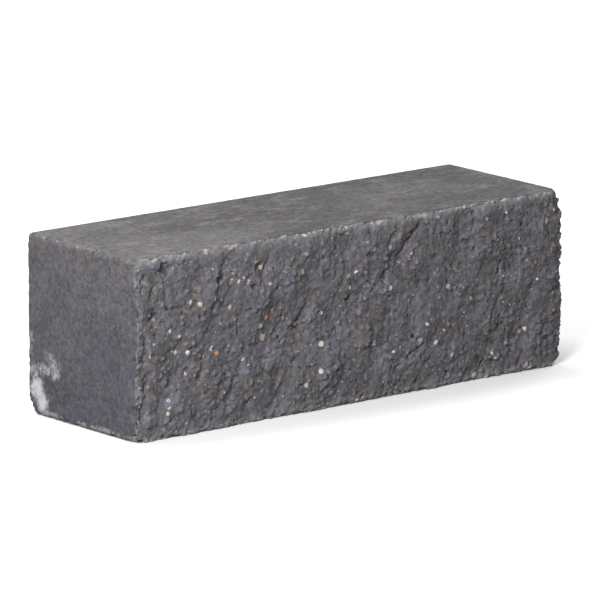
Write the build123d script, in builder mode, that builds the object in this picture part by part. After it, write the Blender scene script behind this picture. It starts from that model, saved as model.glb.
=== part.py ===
"""A split-faced concrete walling block: one solid piece of dry-cast concrete.

The block is cast as one half of a twin, two blocks front to front in one mould, and the twin is then
broken in the middle between two long knives, one above and one below. So five faces are moulded, flat
and with rounded edges, and the front is the broken face. It runs nearly straight along both beds, where
the knives bit, is wavy and stands proud between them, and its edges are sharp.

Frame: the block lies on its lower bed as it does in a wall, +Z up, the length along X and the split
front facing -Y. The origin is on the lower bed, in the middle of the length and of the depth.
Millimetres.
"""

import math
import os

from build123d import *

# The moulded block.
block_length = 300.0
block_height = 100.0
block_depth = 100.0  # from the back to the proudest part of the split front
edge_radius = 3.0  # on every moulded edge

# The waves of the split front.
wave_count = 10
longest_wave = 170.0
wave_ratio = 1.27  # each wave is this much shorter than the one before it
wave_height = 0.65  # of the longest wave, from its middle to its crest
height_ratio = 1.05  # each wave is this much lower than the one before it
main_heading = -28.0  # in which most waves follow each other, in degrees above the length
heading_spread = 64.0  # how far a wave may turn from it to either side

# The ledges, where the break jumped from one lump of the mix to the next. Each one runs up to the
# right from start to end, stands proud on its upper left and falls back on its lower right.
ledges = [
    {"start": (20.0, 71.0), "end": (45.0, 96.0), "fall": 1.2, "run": 5.0},
    {"start": (-100.0, 58.0), "end": (-88.0, 90.0), "fall": 1.1, "run": 5.5},
    {"start": (-67.0, 74.0), "end": (-61.0, 92.0), "fall": 0.9, "run": 5.0},
    {"start": (-129.0, 33.0), "end": (-114.0, 44.0), "fall": 0.9, "run": 5.0},
    {"start": (-90.0, 12.0), "end": (-81.0, 34.0), "fall": 0.9, "run": 5.0},
    {"start": (-42.0, 47.0), "end": (-33.0, 64.0), "fall": 0.8, "run": 5.0},
    {"start": (66.0, 70.0), "end": (71.0, 92.0), "fall": 0.7, "run": 5.0},
    {"start": (108.0, 14.0), "end": (121.0, 40.0), "fall": 0.8, "run": 5.0},
]
ledge_fade = 0.4  # share of its length in which a ledge fades out to either side of its middle

# The hollows, where a lump came away with the other half of the twin.
hollows = [
    {"middle": (-135.0, 97.0), "across": 8.0, "up": 6.0, "depth": 2.2},
    {"middle": (-139.0, 68.0), "across": 6.0, "up": 7.0, "depth": 1.8},
]

# The fall of the split front towards its edges.
bed_fall = 1.3  # at the upper and the lower bed
bed_strip = 26.0  # the strip beside each bed in which it falls back
knife_hold = 0.6  # share of the relief that the knives took away at the beds
end_fall = 0.8  # at the two ends
end_strip = 14.0  # the strip beside each end in which it falls back

# The grid of points that the broken face is drawn through.
grid_step = 4.0
grid_margin = 12.0  # how far the surface runs on past the block all round
grid_tolerance = 0.02

golden_share = (math.sqrt(5) - 1) / 2  # its multiples spread the headings evenly, in no order


def wave_field(x, z):
    """Height of all the waves together, from their middle plane, at one place on the front."""
    height = 0.0
    for number in range(wave_count):
        turn = 2 * (number * golden_share % 1) - 1
        heading = math.radians(main_heading + heading_spread * turn)
        along = x * math.cos(heading) + z * math.sin(heading)
        length = longest_wave / wave_ratio**number
        crest = wave_height / height_ratio**number
        height += crest * math.sin(2 * math.pi * along / length + number)
    return height


def ledge_height(ledge, x, z):
    """Height of one ledge: a lip along its line and a trough beside it, each one run away from it."""
    (start_x, start_z), (end_x, end_z) = ledge["start"], ledge["end"]
    length = math.hypot(end_x - start_x, end_z - start_z)
    unit_x, unit_z = (end_x - start_x) / length, (end_z - start_z) / length
    along = (x - start_x) * unit_x + (z - start_z) * unit_z - length / 2
    across = (x - start_x) * unit_z - (z - start_z) * unit_x
    along, across = along / (ledge_fade * length), across / ledge["run"]
    return -ledge["fall"] * across * math.exp((1 - across**2 - along**2) / 2)


def hollow_height(hollow, x, z):
    """Height of one hollow, a round dish below the surface."""
    middle_x, middle_z = hollow["middle"]
    reach = math.hypot((x - middle_x) / hollow["across"], (z - middle_z) / hollow["up"])
    return -hollow["depth"] * math.exp(-(reach**2))


def nearness(to_edge, strip):
    """1 at an edge of the front, falling smoothly to 0 where the strip beside it ends."""
    share = min(max(to_edge, 0.0), strip) / strip
    return (1 - share) ** 2


def broken_height(x, z):
    """Height of the broken face: its relief, less the fall towards the edges of the front."""
    near_bed = nearness(block_height / 2 - abs(z - block_height / 2), bed_strip)
    near_end = nearness(block_length / 2 - abs(x), end_strip)
    relief = wave_field(x, z)
    relief += sum(ledge_height(ledge, x, z) for ledge in ledges)
    relief += sum(hollow_height(hollow, x, z) for hollow in hollows)
    return relief * (1 - knife_hold * near_bed) - bed_fall * near_bed - end_fall * near_end


def steps(low, high):
    """Evenly spaced places from low to high, about one grid step apart."""
    count = math.ceil((high - low) / grid_step)
    return [low + (high - low) * place / count for place in range(count + 1)]


def split_surface(front):
    """The surface along which the twin breaks, with its proudest point at the front plane."""
    lengths = steps(-block_length / 2 - grid_margin, block_length / 2 + grid_margin)
    heights = steps(-grid_margin, block_height + grid_margin)
    proudest = max(broken_height(x, z) for x in lengths for z in heights)
    rows = [[(x, front + proudest - broken_height(x, z), z) for x in lengths] for z in heights]
    return Face.make_surface_from_array_of_points(rows, tol=grid_tolerance)


with BuildPart() as wall_block:
    # The twin as it leaves the mould, with its edges rounded.
    with BuildSketch(Plane.XY):
        with Locations((0, -block_depth / 2)):
            Rectangle(block_length, 2 * block_depth)
    extrude(amount=block_height)
    fillet(wall_block.edges(), radius=edge_radius)
    # The twin broken in two, of which the half with the back face is the block.
    split(bisect_by=split_surface(-block_depth / 2), keep=Keep.TOP)

wall_block.part.label = "wall_block"
os.makedirs("parts", exist_ok=True)
export_step(wall_block.part, "parts/wall_block.step")
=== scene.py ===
import math

import bpy
import numpy as np
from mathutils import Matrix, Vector, noise
from mathutils.bvhtree import BVHTree


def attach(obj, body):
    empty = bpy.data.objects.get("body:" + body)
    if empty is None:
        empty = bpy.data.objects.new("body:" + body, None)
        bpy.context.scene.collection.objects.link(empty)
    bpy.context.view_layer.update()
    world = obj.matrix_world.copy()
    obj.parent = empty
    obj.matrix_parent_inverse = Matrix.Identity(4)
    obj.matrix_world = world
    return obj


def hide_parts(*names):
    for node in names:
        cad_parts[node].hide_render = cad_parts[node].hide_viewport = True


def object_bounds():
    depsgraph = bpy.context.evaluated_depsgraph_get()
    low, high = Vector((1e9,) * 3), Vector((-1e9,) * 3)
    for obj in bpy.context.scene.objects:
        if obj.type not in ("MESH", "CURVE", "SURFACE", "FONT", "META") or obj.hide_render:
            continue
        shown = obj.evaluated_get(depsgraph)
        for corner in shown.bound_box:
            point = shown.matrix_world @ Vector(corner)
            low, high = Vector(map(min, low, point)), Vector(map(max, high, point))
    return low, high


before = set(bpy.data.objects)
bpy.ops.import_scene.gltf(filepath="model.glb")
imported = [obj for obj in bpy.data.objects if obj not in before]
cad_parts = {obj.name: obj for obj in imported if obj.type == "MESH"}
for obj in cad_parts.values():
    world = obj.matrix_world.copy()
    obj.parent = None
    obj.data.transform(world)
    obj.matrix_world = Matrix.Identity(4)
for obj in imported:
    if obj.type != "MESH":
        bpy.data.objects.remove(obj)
cadLow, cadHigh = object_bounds()
mm = 0.001

# What the block's shape is made with. Lengths are in metres, x from the middle, z from the lower bed.
wallBlock = {
    "node": "wall_block",
    "slot": "concrete",
    "roughGrid": 0.75 * mm,  # even mesh that takes the plates, ledges and chips
    "fineGrid": 0.43 * mm,  # even mesh that takes the grit
    "triangles": 192000,  # left after thinning
    "frontLean": 0.3,  # faces that look this much towards -Y belong to the broken front
    "slideReach": 9 * mm,  # moulded faces slide along with the arris over this strip
    "onFront": 0.35 * mm,  # a point this close to the broken front is on it
    "gritEdge": (0.2 * mm, 1.0 * mm),  # where grit gives way to the moulded skin
    "setBack": 0.4 * mm,  # keeps nearly all grains inside the block's depth
    "proudest": 1.0 * mm,  # how far a grain of the front may stand out of the block's box
}

# The break: plates, chips and grit, longer along a line that climbs to the right. A drift is the size of
# the soft noise that borders wander by, and how far they do.
brokenRelief = {
    "lean": 70,  # degrees that the line climbs
    "stretch": 0.93,  # how wide a plate is for its length
    "middleDepth": cadLow.y + 3 * mm,  # of the front's waves
    "flatter": (0.2, 0.4),  # share of the waves' height that is lost on the left and on the right
    "flatterTurn": (15 * mm, 90 * mm),  # where the one share turns into the other
    "flatterStrip": 14 * mm,  # beside the beds the waves come back to what the arris has
    "kept": (0.88, 0.95),  # share of the relief that is kept on the left and on the right
    "keptTurn": (-70 * mm, 100 * mm),
    "pressed": 0.6,  # share of the relief that the knives left at the beds
    "pressedStrip": 9 * mm,
    "swellSize": 13 * mm, "swellHeight": 2.1 * mm,
    "plateSize": 9 * mm, "plateTilt": 0.11, "plateStep": 0.42 * mm, "plateSoftness": 0.3,
    "plateDrift": (5 * mm, 5 * mm),
    "chipSize": 4.6 * mm, "chipTilt": 0.13, "chipStep": 0.34 * mm, "chipSoftness": 0.22,
    "chipDrift": (3 * mm, 3 * mm),
    "lumpSize": 4.0 * mm, "lumpHeight": 1.4 * mm, "lumpDrift": (3 * mm, 2.4 * mm),
    "grainSize": 2.2 * mm, "grainTilt": 0.13, "grainStep": 0.16 * mm, "grainDrift": (2 * mm, 1.2 * mm),
    "gritSize": 3.0 * mm, "gritHeight": 1.0 * mm,
    "socketSize": 6.5 * mm, "socketShare": 0.28, "socketDepth": 1.1 * mm,
    "socketShift": (0.5, 0.2, 0.1),  # puts the sockets where other cells than the stones' are
    "stoneHeight": 0.45 * mm,
    "changeSize": 22 * mm, "change": (0.7, 1.15),  # calmer and rougher stretches
}

# Every ledge's lip and foot lie this far from its line, which is ragged, and it fades out at its ends.
ledgeShape = {
    "lip": -0.6 * mm, "foot": 1.0 * mm,
    "raggedSize": 6 * mm, "ragged": 9 * mm,
    "fade": 0.3,  # of its length
}

# Ledges that run up to the right, as the break jumps from one stone to the next.
ledges = [
    {"start": (31 * mm, 80 * mm), "end": (45 * mm, 95 * mm), "fall": 2.1 * mm, "width": 6 * mm},
    {"start": (19 * mm, 70 * mm), "end": (27 * mm, 80 * mm), "fall": 1.4 * mm, "width": 5 * mm},
    {"start": (21 * mm, 84 * mm), "end": (30 * mm, 97 * mm), "fall": 1.5 * mm, "width": 5 * mm},
    {"start": (-97 * mm, 74 * mm), "end": (-92 * mm, 88 * mm), "fall": 1.1 * mm, "width": 6 * mm},
    {"start": (-67 * mm, 74 * mm), "end": (-61 * mm, 92 * mm), "fall": 1.4 * mm, "width": 6 * mm},
    {"start": (-46 * mm, 25 * mm), "end": (-40 * mm, 34 * mm), "fall": 1.6 * mm, "width": 5 * mm},
    {"start": (-129 * mm, 33 * mm), "end": (-114 * mm, 44 * mm), "fall": 0.4 * mm, "width": 6 * mm},
    {"start": (-109 * mm, 27 * mm), "end": (-106 * mm, 42 * mm), "fall": 1.4 * mm, "width": 5 * mm},
    {"start": (-90 * mm, 12 * mm), "end": (-81 * mm, 34 * mm), "fall": 0.9 * mm, "width": 6 * mm},
    {"start": (-42 * mm, 47 * mm), "end": (-33 * mm, 64 * mm), "fall": 1.0 * mm, "width": 6 * mm},
    {"start": (-142 * mm, 78 * mm), "end": (-139 * mm, 89 * mm), "fall": 2.4 * mm, "width": 5 * mm},
    {"start": (-147 * mm, 80 * mm), "end": (-145 * mm, 92 * mm), "fall": 2.4 * mm, "width": 4 * mm},
    {"start": (-146 * mm, 12 * mm), "end": (-144.5 * mm, 38 * mm), "fall": 2.6 * mm, "width": 5 * mm},
    {"start": (-146.5 * mm, 42 * mm), "end": (-145 * mm, 58 * mm), "fall": 2.2 * mm, "width": 5 * mm},
    {"start": (37 * mm, 20 * mm), "end": (46 * mm, 28 * mm), "fall": 1.4 * mm, "width": 5 * mm},
]

# Hollows where a stone or a lump came away with the other half. The one with a depth below 0 is a lump
# that stayed.
bites = [
    {"middle": (-130 * mm, 93 * mm), "across": 4.5 * mm, "up": 5.0 * mm, "depth": 1.9 * mm},
    {"middle": (-137 * mm, 96 * mm), "across": 5.5 * mm, "up": 4.5 * mm, "depth": -2.4 * mm},
    {"middle": (-141 * mm, 89 * mm), "across": 4.0 * mm, "up": 3.0 * mm, "depth": 1.4 * mm},
    {"middle": (-139 * mm, 68 * mm), "across": 3.6 * mm, "up": 4.4 * mm, "depth": 1.6 * mm},
    {"middle": (-131 * mm, 64 * mm), "across": 2.4 * mm, "up": 2.2 * mm, "depth": 1.2 * mm},
    {"middle": (-93 * mm, 82 * mm), "across": 3.0 * mm, "up": 4.5 * mm, "depth": 1.6 * mm},
    {"middle": (-98 * mm, 68 * mm), "across": 2.6 * mm, "up": 3.6 * mm, "depth": 1.3 * mm},
    {"middle": (-66 * mm, 84 * mm), "across": 2.8 * mm, "up": 4.0 * mm, "depth": 1.6 * mm},
    {"middle": (-70 * mm, 76 * mm), "across": 2.4 * mm, "up": 3.0 * mm, "depth": 1.3 * mm},
    {"middle": (-109 * mm, 32 * mm), "across": 2.0 * mm, "up": 3.4 * mm, "depth": 1.3 * mm},
    {"middle": (10 * mm, 82 * mm), "across": 2.2 * mm, "up": 2.8 * mm, "depth": 1.8 * mm},
    {"middle": (86 * mm, 75 * mm), "across": 2.4 * mm, "up": 2.4 * mm, "depth": 1.8 * mm},
    {"middle": (104 * mm, 61 * mm), "across": 2.0 * mm, "up": 2.6 * mm, "depth": 1.6 * mm},
    {"middle": (-4 * mm, 59 * mm), "across": 2.2 * mm, "up": 3.2 * mm, "depth": 1.6 * mm},
    {"middle": (21 * mm, 68 * mm), "across": 3.0 * mm, "up": 4.0 * mm, "depth": 1.7 * mm},
]

# Corners and edges that were knocked: a rough plane through a point, and the side it took away.
knocks = [
    {"point": (-150 * mm, 45.4 * mm, 5.6 * mm), "away": (-0.5, 0.68, -0.54), "rough": 1.8 * mm},
    {"point": (-148.6 * mm, -42.5 * mm, 98.2 * mm), "away": (-0.65, -0.4, 0.65), "rough": 0.8 * mm},
    {"point": (-148.4 * mm, -42.4 * mm, 1.7 * mm), "away": (-0.6, -0.5, -0.62), "rough": 0.8 * mm},
    {"point": (148.2 * mm, -43.0 * mm, 97.6 * mm), "away": (0.6, -0.5, 0.62), "rough": 0.9 * mm},
    {"point": (148.6 * mm, 48.4 * mm, 98.0 * mm), "away": (0.6, 0.5, 0.62), "rough": 0.8 * mm},
    {"point": (148.0 * mm, -43.5 * mm, 2.4 * mm), "away": (0.6, -0.5, -0.62), "rough": 0.9 * mm},
]
knockGrain = 2.6 * mm  # size of the lumps on such a plane

# The few stones and pits that stand out most: middle, half the width, and the kind that openTones paints; the
# pits carry painted shade.
openStones = [
    {"middle": (-23 * mm, 37 * mm), "half": 1.9 * mm, "kind": "bright"},
    {"middle": (-24 * mm, 22 * mm), "half": 1.7 * mm, "kind": "bright"},
    {"middle": (-77 * mm, 36 * mm), "half": 1.3 * mm, "kind": "bright"},
    {"middle": (58 * mm, 26 * mm), "half": 1.5 * mm, "kind": "bright"},
    {"middle": (124 * mm, 24 * mm), "half": 1.5 * mm, "kind": "bright"},
    {"middle": (-99 * mm, 45 * mm), "half": 1.8 * mm, "kind": "white"},
    {"middle": (-114 * mm, 73 * mm), "half": 1.4 * mm, "kind": "white"},
    {"middle": (-128 * mm, 21 * mm), "half": 1.3 * mm, "kind": "white"},
    {"middle": (88 * mm, 3 * mm), "half": 1.7 * mm, "kind": "white"},
    {"middle": (-108 * mm, 71 * mm), "half": 1.5 * mm, "kind": "cream"},
    {"middle": (-129 * mm, 14 * mm), "half": 1.3 * mm, "kind": "cream"},
    {"middle": (67 * mm, 56 * mm), "half": 1.6 * mm, "kind": "cream"},
    {"middle": (70 * mm, 17 * mm), "half": 1.5 * mm, "kind": "cream"},
    {"middle": (-63 * mm, 46 * mm), "half": 2.1 * mm, "kind": "pink"},
    {"middle": (14 * mm, 32 * mm), "half": 1.8 * mm, "kind": "pink"},
    {"middle": (46 * mm, 29 * mm), "half": 1.8 * mm, "kind": "pink"},
    {"middle": (124 * mm, 4 * mm), "half": 2.0 * mm, "kind": "pink"},
    {"middle": (-61 * mm, 57 * mm), "half": 1.5 * mm, "kind": "orange"},
    {"middle": (-95 * mm, 42 * mm), "half": 1.5 * mm, "kind": "orange"},
    {"middle": (-137 * mm, 66 * mm), "half": 1.2 * mm, "kind": "tan"},
    {"middle": (41 * mm, 32 * mm), "half": 1.3 * mm, "kind": "shadedPit"},
    {"middle": (120 * mm, 84 * mm), "half": 1.2 * mm, "kind": "shadedPit"},
]
stoneRise = 0.35 * mm
pitDepth = 1.3 * mm
farFromStones = 9.0  # half widths, past which no stone is looked for

# Wear along the edges: which gap it follows, its strip, the size of its bites, how rare they are (low and
# high of a soft noise) and how deep.
edgeWear = [
    {"gap": "bedGap", "strip": (0.0, 2.4 * mm), "size": 4.5 * mm, "detail": 3, "roughness": 0.7,
     "rare": (0.42, 0.66), "depth": 1.7 * mm},  # the crumbled arris
    {"gap": "endGap", "strip": (0.0, 4.5 * mm), "size": 5.5 * mm, "detail": 3, "roughness": 0.6,
     "rare": (0.42, 0.66), "depth": 1.5 * mm},  # pits beside the ends
    {"gap": "endGap", "strip": (0.0, 7 * mm), "size": 13 * mm, "detail": 3, "roughness": 0.6,
     "rare": (0.48, 0.66), "depth": 2.0 * mm},  # longer bites out of the ends
    {"gap": "edgeGap", "strip": (0.5 * mm, 2.8 * mm), "size": 4.5 * mm, "detail": 4, "roughness": 0.6,
     "rare": (0.42, 0.7), "depth": 0.9 * mm},  # the moulded edges
]

# The moulded faces.
castRelief = {
    "swellSize": 18 * mm, "swellHeight": 0.22 * mm,
    "grainSize": 2.2 * mm, "grainHeight": 0.12 * mm,
    "poreSize": 6 * mm, "poreShare": 0.35, "poreDepth": 0.5 * mm, "poreRim": (0.06, 0.14),
    "setBack": 0.08 * mm,  # keeps the grain inside the moulded box
}


def addNode(tree, kind, wires=None, **settings):
    made = tree.nodes.new(kind)
    for name, value in settings.items():
        setattr(made, name, value)
    for socket, value in (wires or {}).items():
        if isinstance(value, bpy.types.NodeSocket):
            tree.links.new(value, made.inputs[socket])
        else:
            made.inputs[socket].default_value = value
    return made


def calc(tree, operation, first, second=0.0, third=0.0):
    wires = {0: first, 1: second, 2: third}
    return addNode(tree, "ShaderNodeMath", wires, operation=operation).outputs[0]


def calcVector(tree, operation, first, second=(0, 0, 0)):
    made = addNode(tree, "ShaderNodeVectorMath", {0: first, 1: second}, operation=operation)
    return made.outputs["Value" if operation in ("DOT_PRODUCT", "LENGTH") else "Vector"]


def scaled(tree, vector, factor):
    return addNode(tree, "ShaderNodeVectorMath", {0: vector, 3: factor}, operation="SCALE").outputs[0]


def parted(tree, vector):
    return addNode(tree, "ShaderNodeSeparateXYZ", {0: vector}).outputs


def ramp(tree, value, low, high, start=0.0, end=1.0):  # smooth from start at low to end at high
    wires = {0: value, 1: low, 2: high, 3: start, 4: end}
    return addNode(tree, "ShaderNodeMapRange", wires, interpolation_type="SMOOTHSTEP").outputs[0]


def noiseNode(tree, place, size, detail, roughness):
    wires = {"Vector": place, "Scale": 1 / size, "Detail": detail, "Roughness": roughness}
    return addNode(tree, "ShaderNodeTexNoise", wires)


def cloud(tree, place, size, detail=2.0, roughness=0.5):  # soft noise, about 0.3 to 0.7
    return noiseNode(tree, place, size, detail, roughness).outputs[0]


def pushed(tree, place, size, amount):  # a place moved about by soft noise
    push = noiseNode(tree, place, size, 2.0, 0.5).outputs["Color"]
    push = scaled(tree, calcVector(tree, "SUBTRACT", push, (0.5, 0.5, 0.5)), amount)
    return calcVector(tree, "ADD", place, push)


def cells(tree, place, size, **settings):
    return addNode(tree, "ShaderNodeTexVoronoi", {"Vector": place, "Scale": 1 / size}, **settings)


def total(tree, values):
    result = values[0]
    for value in values[1:]:
        result = calc(tree, "ADD", result, value)
    return result


def centred(tree, value, height):  # value about its middle, 0.5, times a height
    return calc(tree, "MULTIPLY", calc(tree, "SUBTRACT", value, 0.5), height)


# Cells that each lie a little higher or lower and lean their own way, as broken grains do.
def plates(tree, place, size, tilt, step, softness=0.0):
    found = cells(tree, place, size, feature="SMOOTH_F1")
    found.inputs["Smoothness"].default_value = softness
    drift = calcVector(tree, "SUBTRACT", place, found.outputs["Position"])
    lean = calcVector(tree, "SUBTRACT", found.outputs["Color"], (0.5, 0.5, 0.5))
    leaning = calc(tree, "MULTIPLY", calcVector(tree, "DOT_PRODUCT", drift, lean), 2 * tilt)
    return calc(tree, "ADD", leaning, centred(tree, parted(tree, found.outputs["Color"])[1], step))


# Rounded lumps, each as high as it is lucky.
def lumps(tree, place, size, height):
    found = cells(tree, place, size)
    crest = ramp(tree, found.outputs["Distance"], 0.05, 0.6, 1.0, 0.0)
    draw = parted(tree, found.outputs["Color"])[1]
    return calc(tree, "MULTIPLY", crest, calc(tree, "MULTIPLY", calc(tree, "POWER", draw, 1.6), height))


# Stones in the mix: a mask that is 1 on a stone, and a number from 0 to 1 that picks its colour.
def stoneCells(tree, place, size, share):
    place = pushed(tree, place, size * 0.35, size * 0.3)
    found = cells(tree, place, size)
    draw = parted(tree, found.outputs["Color"])
    axis = calcVector(tree, "SUBTRACT", found.outputs["Color"], (0.5, 0.5, 0.5))
    axis = calcVector(tree, "NORMALIZE", axis)  # along which the stone is flattened
    drift = calcVector(tree, "SUBTRACT", place, found.outputs["Position"])
    squash = calc(tree, "MULTIPLY", calcVector(tree, "DOT_PRODUCT", drift, axis), 0.9)
    drift = calcVector(tree, "ADD", drift, scaled(tree, axis, squash))
    reach = calc(tree, "DIVIDE", calcVector(tree, "LENGTH", drift), size)
    radius = calc(tree, "MULTIPLY_ADD", calc(tree, "POWER", draw[1], 2.2), 0.15, 0.1)
    inside = ramp(tree, calc(tree, "SUBTRACT", radius, reach), -0.04, 0.05)
    return calc(tree, "MULTIPLY", inside, calc(tree, "LESS_THAN", draw[0], share)), draw[2]


def readField(tree, name):
    return addNode(tree, "GeometryNodeInputNamedAttribute", {"Name": name}, data_type="FLOAT").outputs[0]


def startRelief(name):
    tree = bpy.data.node_groups.new(name, "GeometryNodeTree")
    tree.interface.new_socket("Geometry", in_out="INPUT", socket_type="NodeSocketGeometry")
    tree.interface.new_socket("Geometry", in_out="OUTPUT", socket_type="NodeSocketGeometry")
    return tree, addNode(tree, "NodeGroupInput").outputs[0]


def shapeWith(block, tree, geometry):
    addNode(tree, "NodeGroupOutput", {0: geometry})
    block.modifiers.new(tree.name, "NODES").node_group = tree
    settle(block)


def settle(block):  # apply the modifiers
    graph = bpy.context.evaluated_depsgraph_get()
    settled = bpy.data.meshes.new_from_object(block.evaluated_get(graph))
    block.modifiers.clear()
    block.data = settled


def pointsOf(mesh):
    points = np.empty(len(mesh.vertices) * 3, np.float32)
    mesh.vertices.foreach_get("co", points)
    return points.reshape(-1, 3)


def writeField(mesh, name, values):
    field = mesh.attributes.get(name) or mesh.attributes.new(name, "FLOAT", "POINT")
    field.data.foreach_set("value", np.asarray(values, np.float32))


def readValues(mesh, name):
    values = np.empty(len(mesh.vertices), np.float32)
    mesh.attributes[name].data.foreach_get("value", values)
    return values


# The broken front as a tree of faces that distances are measured to.
def frontFaces(mesh, isFront):
    corners = [tuple(p.vertices) for p in mesh.polygons if isFront(p)]
    return BVHTree.FromPolygons([v.co for v in mesh.vertices], corners)


# Each point's distance from the broken front and the moulded edges, and from where the front meets
# a bed (bedGap) or an end (endGap).
def measureGaps(mesh, front):
    points = pointsOf(mesh)
    frontGap = np.array([front.find_nearest(Vector(p))[3] for p in points])
    x, y, z = points.T
    fromEnd = np.minimum(x - cadLow.x, cadHigh.x - x)
    fromBed = np.minimum(z - cadLow.z, cadHigh.z - z)
    walls = np.sort(np.stack([fromEnd, fromBed, cadHigh.y - y]), axis=0)
    writeField(mesh, "frontGap", frontGap)
    writeField(mesh, "edgeGap", walls[1])
    writeField(mesh, "bedGap", np.hypot(frontGap, fromBed))
    writeField(mesh, "endGap", np.hypot(frontGap, fromEnd))


# The nearest open stone or pit to each point: how far off it is in its own half widths, its kind and
# how much it stands out.
def markStones(mesh):
    x, _, z = pointsOf(mesh).T
    reach, kinds, rises = np.full(len(x), farFromStones), np.zeros(len(x)), np.zeros(len(x))
    for stone in openStones:
        found = np.hypot(x - stone["middle"][0], z - stone["middle"][1]) / stone["half"]
        closer = found < reach
        reach[closer] = found[closer]
        kinds[closer] = (list(openTones).index(stone["kind"]) + 0.5) / len(openTones)
        rises[closer] = -pitDepth if stone["kind"] == "shadedPit" else stoneRise
    writeField(mesh, "stoneReach", reach)
    writeField(mesh, "stoneKind", kinds)
    writeField(mesh, "stoneRise", rises)


def voxelRemesh(block, size):
    remesh = block.modifiers.new("even mesh", "REMESH")
    remesh.mode = "VOXEL"
    remesh.voxel_size = size
    settle(block)


def ledgeHeight(tree, place, ragged, ledge):
    start, end = Vector(ledge["start"]), Vector(ledge["end"])
    along = (end - start).normalized()
    across = Vector((along.y, -along.x))  # to the lower right
    fromLine = calcVector(tree, "DOT_PRODUCT", place, (across.x, 0, across.y))
    fromLine = calc(tree, "SUBTRACT", fromLine, start.dot(across))
    fromLine = calc(tree, "ADD", fromLine, ragged)
    alongLine = calcVector(tree, "DOT_PRODUCT", place, (along.x, 0, along.y))
    fade = ledgeShape["fade"] * (end - start).length
    starts = ramp(tree, alongLine, start.dot(along) - fade, start.dot(along) + fade)
    ends = ramp(tree, alongLine, end.dot(along) - fade, end.dot(along) + fade, 1.0, 0.0)
    drop = ramp(tree, fromLine, ledgeShape["lip"], ledgeShape["foot"])
    rise = ramp(tree, fromLine, 0.0, ledge["width"], 1.0, 0.0)
    share = calc(tree, "MULTIPLY", calc(tree, "MULTIPLY", starts, ends), calc(tree, "MULTIPLY", drop, rise))
    return calc(tree, "MULTIPLY", share, -ledge["fall"])


def biteHeight(tree, place, ragged, bite):
    middle = (bite["middle"][0], 0.0, bite["middle"][1])
    spread = (1 / bite["across"], 0.0, 1 / bite["up"])
    fromMiddle = calcVector(tree, "MULTIPLY", calcVector(tree, "SUBTRACT", place, middle), spread)
    ragged = calc(tree, "DIVIDE", ragged, bite["across"])
    reach = calc(tree, "ADD", calcVector(tree, "LENGTH", fromMiddle), ragged)
    return ramp(tree, reach, 0.5, 1.0, -bite["depth"], 0.0)


# A place with the grain of the break along X, squeezed so that what is laid over it comes out long.
def alongBreak(tree, place):
    turned = addNode(tree, "ShaderNodeVectorRotate",
                     {"Vector": place, "Angle": math.radians(brokenRelief["lean"])},
                     rotation_type="Y_AXIS").outputs[0]
    return calcVector(tree, "MULTIPLY", turned, (brokenRelief["stretch"], 1, 1))


# Share of the relief that is kept, from the left to the right of the front.
def keptShare(tree, place):
    return ramp(tree, parted(tree, place)[0], *brokenRelief["keptTurn"], *brokenRelief["kept"])


# Plates, ledges and hollows of the break, as a fall or rise along Y.
def breakFront(block):
    tree, geometry = startRelief("broken front")
    size = brokenRelief
    position = addNode(tree, "GeometryNodeInputPosition").outputs[0]
    place = calcVector(tree, "MULTIPLY", position, (1, 0, 1))
    flow = alongBreak(tree, place)
    ragged = centred(tree, cloud(tree, place, ledgeShape["raggedSize"], 3, 0.6), ledgeShape["ragged"])
    heights = [
        centred(tree, cloud(tree, flow, size["swellSize"], 4, 0.55), size["swellHeight"]),
        plates(tree, pushed(tree, flow, *size["plateDrift"]), size["plateSize"], size["plateTilt"],
               size["plateStep"], size["plateSoftness"]),
    ]
    heights += [ledgeHeight(tree, place, ragged, ledge) for ledge in ledges]
    heights += [biteHeight(tree, place, ragged, bite) for bite in bites]
    height = calc(tree, "MULTIPLY", total(tree, heights), keptShare(tree, place))
    bedGap = readField(tree, "bedGap")
    waves = calc(tree, "SUBTRACT", parted(tree, position)[1], size["middleDepth"])
    flatter = ramp(tree, parted(tree, place)[0], *size["flatterTurn"], *size["flatter"])
    flatter = calc(tree, "MULTIPLY", flatter, ramp(tree, bedGap, 0.0, size["flatterStrip"]))
    height = calc(tree, "MULTIPLY_ADD", waves, flatter, height)
    nearBed = ramp(tree, bedGap, 0.0, size["pressedStrip"], size["pressed"], 1.0)
    slide = ramp(tree, readField(tree, "frontGap"), 0.0, wallBlock["slideReach"], 1.0, 0.0)
    height = calc(tree, "SUBTRACT", calc(tree, "MULTIPLY", height, nearBed), wallBlock["setBack"])
    height = calc(tree, "MULTIPLY", height, slide)
    offset = addNode(tree, "ShaderNodeCombineXYZ", {1: calc(tree, "MULTIPLY", height, -1.0)}).outputs[0]
    moved = addNode(tree, "GeometryNodeSetPosition", {"Geometry": geometry, "Offset": offset})
    shapeWith(block, tree, moved.outputs[0])


def knockCorners(mesh):
    for knock in knocks:
        point, away = Vector(knock["point"]), Vector(knock["away"]).normalized()
        proud = (pointsOf(mesh) - np.array(point)) @ np.array(away)
        for index in np.flatnonzero(proud > -knock["rough"]):
            vertex = mesh.vertices[int(index)]
            rough = noise.fractal(vertex.co / knockGrain, 0.9, 2.0, 3) * knock["rough"]
            vertex.co -= away * max(0.0, proud[index] + rough)


# A place flattened front to back, so that the break shows the stones near their full width.
def acrossBreak(tree, place):
    return calcVector(tree, "MULTIPLY", place, (1, 0.4, 1))


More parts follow.
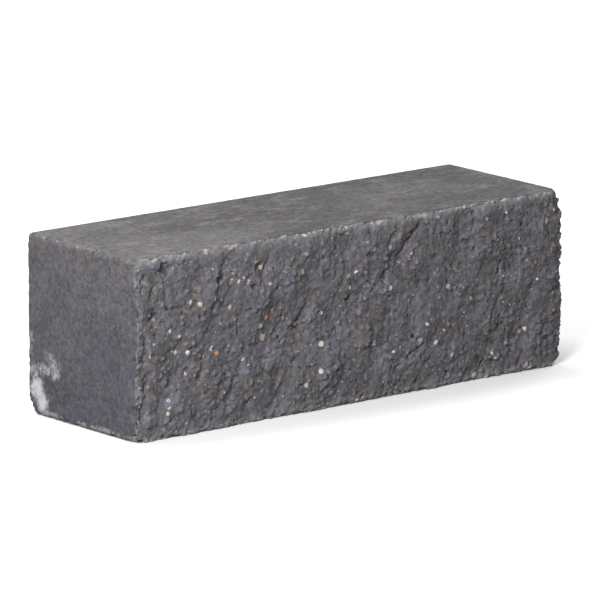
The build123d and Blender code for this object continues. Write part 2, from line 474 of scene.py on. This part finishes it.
# Grains, sockets and grit of the broken front.
def gritHeight(tree, place):
    size = brokenRelief
    chips = plates(tree, pushed(tree, place, *size["chipDrift"]), size["chipSize"], size["chipTilt"],
                   size["chipStep"], size["chipSoftness"])
    grains = plates(tree, pushed(tree, place, *size["grainDrift"]), size["grainSize"], size["grainTilt"],
                    size["grainStep"])
    knobs = lumps(tree, pushed(tree, place, *size["lumpDrift"]), size["lumpSize"], size["lumpHeight"])
    grit = centred(tree, cloud(tree, place, size["gritSize"], 4, 0.65), size["gritHeight"])
    changes = cloud(tree, alongBreak(tree, place), size["changeSize"], 2)
    rough = ramp(tree, changes, 0.35, 0.62, *size["change"])
    rough = calc(tree, "MULTIPLY", rough, keptShare(tree, place))
    shifted = calcVector(tree, "ADD", place, size["socketShift"])
    sockets, _ = stoneCells(tree, shifted, size["socketSize"], size["socketShare"])
    stones, _ = stoneCells(tree, acrossBreak(tree, place), brokenConcrete["stoneSize"],
                           brokenConcrete["stoneShare"])
    shown = ramp(tree, readField(tree, "stoneReach"), 0.6, 1.2, 1.0, 0.0)
    return total(tree, [
        calc(tree, "MULTIPLY", total(tree, [chips, knobs, grains, grit]), rough),
        calc(tree, "MULTIPLY", sockets, -size["socketDepth"]),
        calc(tree, "MULTIPLY", stones, size["stoneHeight"]),
        calc(tree, "MULTIPLY", shown, readField(tree, "stoneRise")),
    ])


# The moulded faces: nearly flat, with fine grain and a few pores.
def castHeight(tree, place):
    size = castRelief
    poreCells = cells(tree, place, size["poreSize"])
    open = calc(tree, "LESS_THAN", parted(tree, poreCells.outputs["Color"])[0], size["poreShare"])
    pores = ramp(tree, poreCells.outputs["Distance"], *size["poreRim"], -size["poreDepth"], 0.0)
    return total(tree, [
        calc(tree, "MULTIPLY", pores, open),
        centred(tree, cloud(tree, place, size["swellSize"], 2), size["swellHeight"]),
        centred(tree, cloud(tree, place, size["grainSize"], 2, 0.6), size["grainHeight"]),
        -size["setBack"],
    ])


# Bites out of one kind of edge.
def wearHeight(tree, place, wear):
    near = ramp(tree, readField(tree, wear["gap"]), *wear["strip"], 1.0, 0.0)
    patches = cloud(tree, place, wear["size"], wear["detail"], wear["roughness"])
    return calc(tree, "MULTIPLY", ramp(tree, patches, *wear["rare"], 0.0, -wear["depth"]), near)


# How deep each point lies below its surroundings, in millimetres, for the painted shade in the crevices.
def storeHollows(tree, geometry, normal):
    for name, rounds in (("hollow", 16), ("hollowWide", 110)):  # rounds of blurring, fine and wide
        position = addNode(tree, "GeometryNodeInputPosition").outputs[0]
        blurred = addNode(tree, "GeometryNodeBlurAttribute", {0: position, "Iterations": rounds},
                          data_type="FLOAT_VECTOR").outputs[0]
        sunk = calcVector(tree, "DOT_PRODUCT", calcVector(tree, "SUBTRACT", blurred, position), normal)
        geometry = addNode(tree, "GeometryNodeStoreNamedAttribute",
                           {"Geometry": geometry, "Name": name, "Value": calc(tree, "DIVIDE", sunk, mm)},
                           data_type="FLOAT", domain="POINT").outputs[0]
    return geometry


# Grit, crumbled arris, worn edges and pores, along the surface's own direction.
def roughenSurface(block):
    tree, geometry = startRelief("grit and wear")
    place = addNode(tree, "GeometryNodeInputPosition").outputs[0]
    normal = addNode(tree, "GeometryNodeInputNormal").outputs[0]
    onFront = ramp(tree, readField(tree, "frontGap"), *wallBlock["gritEdge"], 1.0, 0.0)
    cast, grit = castHeight(tree, place), gritHeight(tree, place)
    height = addNode(tree, "ShaderNodeMix", {0: onFront, 2: cast, 3: grit}).outputs[0]
    height = total(tree, [height] + [wearHeight(tree, place, wear) for wear in edgeWear])
    moved = addNode(tree, "GeometryNodeSetPosition",
                    {"Geometry": geometry, "Offset": scaled(tree, normal, height)}).outputs[0]
    shapeWith(block, tree, storeHollows(tree, moved, normal))


# Nothing stands out of the moulded box, and the front only a little: what would is ground flush.
def keepInBox(mesh):
    low = np.array(cadLow) - np.array((0, wallBlock["proudest"], 0))
    points = np.clip(pointsOf(mesh), low, np.array(cadHigh))
    mesh.vertices.foreach_set("co", points.astype(np.float32).ravel())
    mesh.update()


def thin(block):
    block.data.calc_loop_triangles()
    share = wallBlock["triangles"] / len(block.data.loop_triangles)
    block.modifiers.new("thinned", "DECIMATE").ratio = min(1.0, share)
    settle(block)


def makeBlock():
    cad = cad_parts[wallBlock["node"]].data
    mesh = bpy.data.meshes.new("split wall block")
    mesh.from_pydata([v.co for v in cad.vertices], [], [tuple(p.vertices) for p in cad.polygons])
    block = bpy.data.objects.new("splitWallBlock", mesh)
    bpy.context.scene.collection.objects.link(block)
    front = frontFaces(mesh, lambda face: face.normal.y < -wallBlock["frontLean"])
    voxelRemesh(block, wallBlock["roughGrid"])
    measureGaps(block.data, front)
    isFront = readValues(block.data, "frontGap") < wallBlock["onFront"]
    print("even mesh,", len(block.data.vertices), "points")
    breakFront(block)
    front = frontFaces(block.data, lambda face: all(isFront[v] for v in face.vertices))
    knockCorners(block.data)
    print("front broken, corners knocked")
    voxelRemesh(block, wallBlock["fineGrid"])
    measureGaps(block.data, front)
    markStones(block.data)
    roughenSurface(block)
    print("surface roughened,", len(block.data.vertices), "points")
    keepInBox(block.data)
    thin(block)
    keepInBox(block.data)
    print("thinned to", len(block.data.polygons), "triangles")
    return block


# Materials

def fromPicture(red, green, blue):  # a colour as a picture holds it, 0 to 255, made linear
    return tuple(((c / 255 + 0.055) / 1.055) ** 2.4 for c in (red, green, blue)) + (1.0,)


# The moulded faces. A pair of heights or noise values says where one tone turns into the next.
mouldedConcrete = {
    "side": fromPicture(88, 86, 89),
    "sideShadedLow": fromPicture(75, 76, 82),  # painted shade: the sides darken and cool towards the lower bed
    "coolTurn": (15 * mm, 95 * mm),
    "coolSize": 40 * mm, "coolWander": 120 * mm,  # soft noise that shifts those heights
    "bed": fromPicture(77, 75, 78),
    "bedPale": fromPicture(94, 92, 92),
    "paleSize": 36 * mm, "paleTurn": (0.36, 0.64),
    "paleEnds": (-150 * mm, 30 * mm), "paleShift": (0.12, -0.08),  # paler towards the left end
    "pale": fromPicture(142, 140, 141),
    "salt": fromPicture(196, 196, 199),  # whitish bloom low at the back of the left end
    "saltLobes": [
        {"middle": (-150 * mm, 41 * mm, 15 * mm), "spread": (12 * mm, 6.5 * mm, 6.5 * mm), "cover": 1.5},
        {"middle": (-150 * mm, 36 * mm, 8 * mm), "spread": (12 * mm, 5 * mm, 6 * mm), "cover": 1.5},
        {"middle": (-150 * mm, 34 * mm, 2 * mm), "spread": (12 * mm, 5 * mm, 4 * mm), "cover": 1.2},
        {"middle": (-150 * mm, 44 * mm, 23 * mm), "spread": (8 * mm, 6 * mm, 6 * mm), "cover": 0.9},
        {"middle": (-150 * mm, 34 * mm, 27 * mm), "spread": (8 * mm, 8 * mm, 5 * mm), "cover": 0.8},
        {"middle": (-150 * mm, 25 * mm, 28 * mm), "spread": (8 * mm, 6 * mm, 6 * mm), "cover": 0.95},
        {"middle": (-150 * mm, 30 * mm, 34 * mm), "spread": (8 * mm, 5 * mm, 5 * mm), "cover": 0.65},
        {"middle": (-150 * mm, 46 * mm, 41 * mm), "spread": (8 * mm, 4 * mm, 8 * mm), "cover": 0.65},
    ],
    "saltFade": (0.2, 1.7),  # in spreads from a lobe's middle
    "saltSize": 5 * mm, "saltSmudge": 2.6, "saltDrift": (6 * mm, 9 * mm),
    "saltFineSize": 1.6 * mm, "saltFine": 1.2,
    "saltTurn": (0.3, 1.6), "saltThickest": 0.85,
    "streak": fromPicture(112, 108, 107),
    "streakSize": 11 * mm, "streakTurn": (0.48, 0.66), "streakThickest": 0.5,
    "streakDrift": (20 * mm, 10 * mm),
    "streakStretch": (0.5, 1, 1),  # makes streaks twice as long along the block
    "roughness": 0.86,
    "grain": 0.55,
    "bump": 0.15 * mm,
    # painted shade: small pores drawn only in colour, darkened towards this
    "poreShade": fromPicture(58, 56, 58),
    "poreSize": 2.8 * mm, "poreRim": (0.1, 0.26), "poreShadeStrength": 0.7,
    "poreFree": 0.45,  # share of the cells without a pore
    "stonesShown": 0.15,
    "dustHeights": (2 * mm, 12 * mm),  # between which the dust thins upwards
    "dustWidths": (6.5 * mm, 3.6 * mm), "dustCovers": (0.75, 0.35),
    "dustOnEdge": 1.0 * mm, "dustByArris": 2.6 * mm,
}

# The broken front.
brokenConcrete = {
    "paste": fromPicture(100, 99, 106),
    "warmPaste": fromPicture(90, 87, 88),
    "warmSize": 15 * mm, "warmTurn": (0.38, 0.62),
    "pale": fromPicture(166, 163, 159),
    "film": fromPicture(130, 128, 130),  # lighter skin on what stands proud
    "filmFrom": (-0.04, -0.36),  # hollow in millimetres, less than 0 where it stands proud
    "filmSize": 9 * mm, "filmTurn": (0.36, 0.6), "filmThickest": 0.6,
    "crushedStrip": (1 * mm, 7 * mm), "crushed": 0.6,  # where the knife pressed
    # painted shade: the colour that the crevices and hollows of the break are darkened towards
    "paintedCreviceShade": fromPicture(48, 41, 38),
    "paintedShadeFine": (0.08, 0.5), "paintedShadeWide": (0.2, 1.4),  # hollows over which the painted shade darkens the colour, in millimetres
    "paintedShadeMost": 0.8, "stonesClear": 0.7,  # stones take less of the painted shade than the paste
    "dustStrip": 4.2 * mm, "dustCover": 0.52,
    "roughness": 0.92,
    "grain": 0.46,
    "bump": 0.35 * mm,
    "openSize": 1.4 * mm, "openRagged": 1.3,  # outlines of the open stones
    "openEdge": (0.6, 1.15), "openPaint": 0.9,
    "stoneSize": 6.2 * mm,
    "stoneShare": 0.65,
    "stones": [fromPicture(200, 193, 176), fromPicture(146, 144, 145), fromPicture(188, 181, 166),
               fromPicture(132, 131, 134), fromPicture(208, 205, 198), fromPicture(156, 152, 148),
               fromPicture(156, 134, 116), fromPicture(166, 166, 168), fromPicture(140, 137, 136),
               fromPicture(172, 156, 148), fromPicture(184, 176, 158), fromPicture(128, 127, 131),
               fromPicture(196, 191, 180), fromPicture(122, 119, 120)],
    "fineStoneSize": 2.6 * mm,
    "fineStoneShare": 0.8,
    "fineStones": [fromPicture(146, 144, 145), fromPicture(176, 170, 156), fromPicture(138, 137, 140),
                   fromPicture(160, 157, 154), fromPicture(78, 75, 76), fromPicture(190, 185, 174),
                   fromPicture(150, 137, 122), fromPicture(142, 141, 144), fromPicture(166, 128, 98),
                   fromPicture(70, 67, 68), fromPicture(150, 148, 150), fromPicture(166, 164, 162),
                   fromPicture(132, 130, 131), fromPicture(156, 150, 142), fromPicture(74, 71, 71),
                   fromPicture(140, 138, 137)],
}

# Kinds of open stone.
openTones = {
    "bright": fromPicture(214, 208, 195),
    "white": fromPicture(178, 179, 182),
    "cream": fromPicture(192, 183, 162),
    "pink": fromPicture(166, 150, 146),
    "tan": fromPicture(156, 132, 106),
    "orange": fromPicture(186, 124, 86),
    # painted shade: an open pit is darkened in colour as well as sunk
    "shadedPit": fromPicture(54, 47, 44),
}


def mixColours(tree, share, first, second, kind="MIX"):
    made = addNode(tree, "ShaderNodeMix", {0: share, 6: first, 7: second}, data_type="RGBA", blend_type=kind)
    return made.outputs[2]


def steppedColours(tree, value, tones):  # one colour for each equal share of 0 to 1
    choice = addNode(tree, "ShaderNodeValToRGB", {0: value})
    choice.color_ramp.interpolation = "CONSTANT"
    points = choice.color_ramp.elements
    for number, tone in enumerate(tones):
        point = points[number] if number < 2 else points.new(number / len(tones))
        point.position = number / len(tones)
        point.color = tone
    return choice.outputs[0]


def startGroup(name, inputs, outputs):
    tree = bpy.data.node_groups.new(name, "ShaderNodeTree")
    for label, kind, value in inputs:
        socket = tree.interface.new_socket(label, in_out="INPUT", socket_type=kind)
        if value is not None:
            socket.default_value = value
    for label, kind in outputs:
        tree.interface.new_socket(label, in_out="OUTPUT", socket_type=kind)
    return tree, addNode(tree, "NodeGroupInput").outputs


# Blotches, patches, sand grains and fine specks of the concrete: how large, and how strong for a grain
# strength of 1.
concreteGrain = {
    "blotchSize": 24 * mm, "blotch": 1.0,
    "patchSize": 4.0 * mm, "patch": 1.6,
    "sandSize": 1.9 * mm, "sand": 0.9, "sandDrift": (1 * mm, 0.8 * mm),
    "fineSize": 1.0 * mm, "fine": 1.5,
    "tintSize": 9 * mm, "tintTurn": (0.38, 0.62),
    "cool": (0.975, 1.0, 1.02, 1),
    "warm": (1.025, 0.995, 0.985, 1),
    "bumpSize": 0.9 * mm, "wideBumpSize": 2.6 * mm, "wideBump": 0.8,
}


# Grain of the concrete: its colour, and a height for the bump.
def makeGrainGroup():
    tree, given = startGroup("concrete grain", [
        ("Place", "NodeSocketVector", None),
        ("Colour", "NodeSocketColor", (0.1, 0.1, 0.1, 1)),
        ("Strength", "NodeSocketFloat", 0.2),
    ], [("Colour", "NodeSocketColor"), ("Height", "NodeSocketFloat")])
    look, place = concreteGrain, given["Place"]
    blotch = centred(tree, cloud(tree, place, look["blotchSize"], 3), look["blotch"])
    patch = centred(tree, cloud(tree, place, look["patchSize"], 3, 0.65), look["patch"])
    sand = cells(tree, pushed(tree, place, *look["sandDrift"]), look["sandSize"]).outputs["Color"]
    sand = centred(tree, parted(tree, sand)[0], look["sand"])
    fine = centred(tree, cloud(tree, place, look["fineSize"], 2, 0.7), look["fine"])
    shades = calc(tree, "MULTIPLY", total(tree, [blotch, patch, sand, fine]), given["Strength"])
    lit = scaled(tree, given["Colour"], calc(tree, "ADD", shades, 1.0))
    warm = ramp(tree, cloud(tree, place, look["tintSize"], 3, 0.6), *look["tintTurn"])
    lit = mixColours(tree, 1.0, lit, mixColours(tree, warm, look["cool"], look["warm"]), "MULTIPLY")
    wide = calc(tree, "MULTIPLY", cloud(tree, place, look["wideBumpSize"], 2), look["wideBump"])
    height = calc(tree, "ADD", cloud(tree, place, look["bumpSize"], 3, 0.7), wide)
    addNode(tree, "NodeGroupOutput", {"Colour": lit, "Height": height})
    return tree


# Where pale dust lies, for the dust group.
edgeDust = {
    "patchSize": 11 * mm, "crumbSize": 2.4 * mm,
    "contrast": 2.0,  # of the patches and the crumbs
    "onEdge": 0.55,  # how much more of it lies on the edge itself
    "bare": 2.95,  # dust lies where all of it adds up to more than this
    "rim": 0.5,  # over which its edge fades
    "fadeOut": 0.4,  # from this nearness it thins out to nothing
}


# Pale dust and crushed paste along an edge: near is 1 on the edge.
def makeDustGroup():
    tree, given = startGroup("pale edge dust", [
        ("Place", "NodeSocketVector", None),
        ("Near", "NodeSocketFloat", 0.0),
        ("Cover", "NodeSocketFloat", 0.5),
    ], [("Mask", "NodeSocketFloat")])
    patches = cloud(tree, given["Place"], edgeDust["patchSize"], 2)
    crumbs = cloud(tree, given["Place"], edgeDust["crumbSize"], 3, 0.7)
    amount = total(tree, [
        calc(tree, "MULTIPLY", patches, edgeDust["contrast"]),
        calc(tree, "MULTIPLY", crumbs, edgeDust["contrast"]),
        calc(tree, "MULTIPLY", given["Near"], edgeDust["onEdge"]),
        calc(tree, "SUBTRACT", given["Cover"], edgeDust["bare"]),
    ])
    mask = calc(tree, "MULTIPLY", ramp(tree, amount, 0.0, edgeDust["rim"]),
                ramp(tree, given["Near"], 0.0, edgeDust["fadeOut"]))
    addNode(tree, "NodeGroupOutput", {"Mask": mask})
    return tree


# Stones that show where the paste is broken or worn off.
def makeStoneGroup():
    tree, given = startGroup("stones in the mix", [
        ("Place", "NodeSocketVector", None),
        ("Colour", "NodeSocketColor", (0.1, 0.1, 0.1, 1)),
        ("Amount", "NodeSocketFloat", 1.0),
    ], [("Colour", "NodeSocketColor"), ("Mask", "NodeSocketFloat")])
    colour = given["Colour"]
    masks = []
    for kind in ("fineStone", "stone"):
        size, share = brokenConcrete[kind + "Size"], brokenConcrete[kind + "Share"]
        mask, draw = stoneCells(tree, given["Place"], size, share)
        mask = calc(tree, "MULTIPLY", mask, given["Amount"])
        colour = mixColours(tree, mask, colour, steppedColours(tree, draw, brokenConcrete[kind + "s"]))
        masks.append(mask)
    addNode(tree, "NodeGroupOutput", {"Colour": colour, "Mask": calc(tree, "MAXIMUM", *masks)})
    return tree


def placeGroup(tree, group, wires):
    return addNode(tree, "ShaderNodeGroup", wires, node_tree=group).outputs


def startMaterial(name, roughness, shine=0.25):
    material = bpy.data.materials.new(name)
    material.use_nodes = True
    tree = material.node_tree
    shader = tree.nodes["Principled BSDF"]
    shader.inputs["Roughness"].default_value = roughness
    shader.inputs["Specular IOR Level"].default_value = shine
    place = addNode(tree, "ShaderNodeTexCoord").outputs["Object"]
    return material, tree, shader, place


def readShade(tree, name):
    return addNode(tree, "ShaderNodeAttribute", attribute_name=name).outputs["Fac"]


def finishMaterial(tree, shader, colour, height, depth):
    tree.links.new(colour, shader.inputs["Base Color"])
    bump = addNode(tree, "ShaderNodeBump", {"Height": height, "Distance": depth, "Strength": 1.0})
    tree.links.new(bump.outputs[0], shader.inputs["Normal"])


def makeBrokenConcrete(grainGroup, dustGroup, stoneGroup):
    look = brokenConcrete
    material, tree, shader, place = startMaterial("broken concrete", look["roughness"])
    warm = ramp(tree, cloud(tree, place, look["warmSize"], 4, 0.6), *look["warmTurn"])
    paste = mixColours(tree, warm, look["paste"], look["warmPaste"])
    grain = placeGroup(tree, grainGroup, {"Place": place, "Colour": paste, "Strength": look["grain"]})
    proud = calc(tree, "MULTIPLY", ramp(tree, readShade(tree, "hollow"), *look["filmFrom"]),
                 ramp(tree, cloud(tree, place, look["filmSize"], 3, 0.6), *look["filmTurn"]))
    crushed = ramp(tree, readShade(tree, "bedGap"), *look["crushedStrip"], look["crushed"], 0.0)
    film = calc(tree, "MAXIMUM", calc(tree, "MULTIPLY", proud, look["filmThickest"]), crushed)
    skinned = mixColours(tree, film, grain["Colour"], look["film"])
    stones = placeGroup(tree, stoneGroup,
                        {"Place": acrossBreak(tree, place), "Colour": skinned, "Amount": 1.0})
    # Painted shade: the crevices and hollows of the break are darkened in colour.
    hollow = ramp(tree, readShade(tree, "hollow"), *look["paintedShadeFine"])
    hollowWide = ramp(tree, readShade(tree, "hollowWide"), *look["paintedShadeWide"])
    creviceShadeAmount = calc(tree, "MULTIPLY", calc(tree, "MAXIMUM", hollow, hollowWide), look["paintedShadeMost"])
    onPaste = calc(tree, "MULTIPLY_ADD", stones["Mask"], -look["stonesClear"], 1.0)
    creviceShadeAmount = calc(tree, "MULTIPLY", creviceShadeAmount, onPaste)
    colour = mixColours(tree, creviceShadeAmount, stones["Colour"], look["paintedCreviceShade"])
    near = ramp(tree, readShade(tree, "bedGap"), 0.0, look["dustStrip"], 1.0, 0.0)
    dust = placeGroup(tree, dustGroup, {"Place": place, "Near": near, "Cover": look["dustCover"]})
    colour = mixColours(tree, dust["Mask"], colour, look["pale"])
    ragged = centred(tree, cloud(tree, place, look["openSize"], 3, 0.6), look["openRagged"])
    reach = calc(tree, "ADD", readShade(tree, "stoneReach"), ragged)
    shown = ramp(tree, reach, *look["openEdge"], look["openPaint"], 0.0)
    openColour = steppedColours(tree, readShade(tree, "stoneKind"), openTones.values())
    colour = mixColours(tree, shown, colour, openColour)
    finishMaterial(tree, shader, colour, grain["Height"], look["bump"])
    return material


# Whitish bloom: streaky smudges around one low corner of the left end.
def saltMask(tree, place):
    look = mouldedConcrete
    cover = 0.0
    for lobe in look["saltLobes"]:
        fromMiddle = calcVector(tree, "SUBTRACT", place, lobe["middle"])
        fromMiddle = calcVector(tree, "DIVIDE", fromMiddle, lobe["spread"])
        reach = calcVector(tree, "LENGTH", fromMiddle)
        cover = calc(tree, "MAXIMUM", cover, ramp(tree, reach, *look["saltFade"], lobe["cover"], 0.0))
    smudge = cloud(tree, pushed(tree, place, *look["saltDrift"]), look["saltSize"], 5, 0.75)
    cover = calc(tree, "ADD", cover, centred(tree, smudge, look["saltSmudge"]))
    fine = cloud(tree, place, look["saltFineSize"], 3, 0.7)
    cover = calc(tree, "ADD", cover, centred(tree, fine, look["saltFine"]))
    return ramp(tree, cover, *look["saltTurn"], 0.0, look["saltThickest"])


def makeMouldedConcrete(grainGroup, dustGroup, stoneGroup):
    look = mouldedConcrete
    material, tree, shader, place = startMaterial("moulded concrete", look["roughness"])
    facing = parted(tree, addNode(tree, "ShaderNodeTexCoord").outputs["Normal"])
    onBed = ramp(tree, calc(tree, "ABSOLUTE", facing[2]), 0.6, 0.95)
    x, _, z = parted(tree, place)
    # Painted shade: the sides darken towards the lower bed.
    level = calc(tree, "ADD", z, centred(tree, cloud(tree, place, look["coolSize"], 2), look["coolWander"]))
    side = mixColours(tree, ramp(tree, level, *look["coolTurn"]), look["sideShadedLow"], look["side"])
    along = pushed(tree, place, *look["streakDrift"])
    along = calcVector(tree, "MULTIPLY", along, look["streakStretch"])
    # The bed is paler towards the left end and darker towards the right, with soft patches.
    bedPaleness = ramp(tree, x, *look["paleEnds"], *look["paleShift"])
    bedPaleness = calc(tree, "ADD", cloud(tree, along, look["paleSize"], 3), bedPaleness)
    bed = mixColours(tree, ramp(tree, bedPaleness, *look["paleTurn"]), look["bed"], look["bedPale"])
    base = mixColours(tree, onBed, side, bed)
    streaks = cloud(tree, along, look["streakSize"], 4, 0.6)
    streaks = ramp(tree, streaks, *look["streakTurn"], 0.0, look["streakThickest"])
    base = mixColours(tree, calc(tree, "MULTIPLY", streaks, onBed), base, look["streak"])
    grain = placeGroup(tree, grainGroup, {"Place": place, "Colour": base, "Strength": look["grain"]})
    # Painted shade: small dark pores drawn in the colour only.
    poreCells = cells(tree, place, look["poreSize"])
    open = calc(tree, "GREATER_THAN", parted(tree, poreCells.outputs["Color"])[0], look["poreFree"])
    pores = ramp(tree, poreCells.outputs["Distance"], *look["poreRim"], look["poreShadeStrength"], 0.0)
    pitted = mixColours(tree, calc(tree, "MULTIPLY", pores, open), grain["Colour"], look["poreShade"])
    stones = placeGroup(tree, stoneGroup,
                        {"Place": place, "Colour": pitted, "Amount": look["stonesShown"]})
    colour = mixColours(tree, saltMask(tree, place), stones["Colour"], look["salt"])
    strip = ramp(tree, z, *look["dustHeights"], *look["dustWidths"])  # wider low down
    byArris = ramp(tree, readShade(tree, "bedGap"), 0.0, look["dustByArris"], 1.0, 0.0)
    byEdge = ramp(tree, readShade(tree, "edgeGap"), look["dustOnEdge"], strip, 0.9, 0.0)
    near = calc(tree, "MAXIMUM", byArris, byEdge)
    cover = ramp(tree, z, *look["dustHeights"], *look["dustCovers"])
    dust = placeGroup(tree, dustGroup, {"Place": place, "Near": near, "Cover": cover})
    colour = mixColours(tree, dust["Mask"], colour, look["pale"])
    finishMaterial(tree, shader, colour, grain["Height"], look["bump"])
    return material


def paintBlock(block, moulded, broken):
    block.data.materials.clear()
    block.data.materials.append(moulded)
    block.data.materials.append(broken)
    frontGap = readValues(block.data, "frontGap")
    for face in block.data.polygons:
        onFront = sum(frontGap[v] for v in face.vertices) < 3 * wallBlock["onFront"]
        face.material_index = 1 if onFront else 0
        face.use_smooth = True


# Stage

studio = {
    "azimuth": -39.2,  # degrees, as the picture was taken
    "elevation": 12.5,
    "distance": 3.8,
    "lens": 416.0,
    "floorSize": 14.0,
    "floorGap": 0.02 * mm,  # keeps the floor just clear of the lower bed
    "floor": fromPicture(250, 250, 250),
    "floorBounce": fromPicture(96, 96, 96),  # what the block gets back from the floor
    "sky": 0.4,  # how strongly the white room lights the block
}

lamps = [
    {"name": "left panel", "at": (-0.96, -0.68, 0.62), "size": 0.42, "power": 21},
    {"name": "top panel", "at": (-0.3, 1.1, 2.3), "size": 1.6, "power": 42},
    {"name": "right panel", "at": (1.7, 0.7, 0.9), "size": 1.2, "power": 13},
]


def makeCamera(target):
    turn, rise = math.radians(studio["azimuth"]), math.radians(studio["elevation"])
    back = Vector((math.sin(turn) * math.cos(rise), -math.cos(turn) * math.cos(rise), math.sin(rise)))
    data = bpy.data.cameras.new("camera")
    data.lens = studio["lens"]
    data.sensor_width = 36
    data.clip_end = 50
    camera = bpy.data.objects.new("camera", data)
    camera.location = target + back * studio["distance"]
    camera.rotation_euler = (-back).to_track_quat("-Z", "Y").to_euler()
    bpy.context.scene.collection.objects.link(camera)
    bpy.context.scene.camera = camera


def makeLamps(target):
    for lamp in lamps:
        data = bpy.data.lights.new(lamp["name"], "AREA")
        data.size = lamp["size"]
        data.energy = lamp["power"]
        panel = bpy.data.objects.new(lamp["name"], data)
        panel.location = lamp["at"]
        panel.rotation_euler = (Vector(lamp["at"]) - target).to_track_quat("Z", "Y").to_euler()
        bpy.context.scene.collection.objects.link(panel)


def makeFloor():
    half = studio["floorSize"] / 2
    mesh = bpy.data.meshes.new("floor")
    corners = [(-half, -half, 0), (half, -half, 0), (half, half, 0), (-half, half, 0)]
    mesh.from_pydata(corners, [], [(0, 1, 2, 3)])
    floor = bpy.data.objects.new("floor", mesh)
    floor.location.z = -studio["floorGap"]
    bpy.context.scene.collection.objects.link(floor)
    material, tree, shader, _ = startMaterial("pale floor", 0.9)
    rays = addNode(tree, "ShaderNodeLightPath").outputs
    seen = calc(tree, "MAXIMUM", rays["Is Camera Ray"], rays["Is Glossy Ray"])
    colour = mixColours(tree, seen, studio["floorBounce"], studio["floor"])
    tree.links.new(colour, shader.inputs["Base Color"])
    mesh.materials.append(material)


def makeWorld():
    world = bpy.data.worlds.new("studio")
    world.use_nodes = True
    tree = world.node_tree
    tree.nodes.clear()
    rays = addNode(tree, "ShaderNodeLightPath").outputs
    strength = addNode(tree, "ShaderNodeMix", {0: rays["Is Camera Ray"], 2: studio["sky"], 3: 1.0}).outputs[0]
    light = addNode(tree, "ShaderNodeBackground", {"Color": (1, 1, 1, 1), "Strength": strength}).outputs[0]
    addNode(tree, "ShaderNodeOutputWorld", {"Surface": light})
    bpy.context.scene.world = world


block = makeBlock()
shared = makeGrainGroup(), makeDustGroup(), makeStoneGroup()
paintBlock(block, makeMouldedConcrete(*shared), makeBrokenConcrete(*shared))
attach(block, "root")
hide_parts(wallBlock["node"])
print("block painted")

middle = (cadLow + cadHigh) / 2
makeCamera(middle)
makeLamps(middle)
makeFloor()
makeWorld()
bpy.context.scene.view_settings.view_transform = "Standard"
print("stage set")
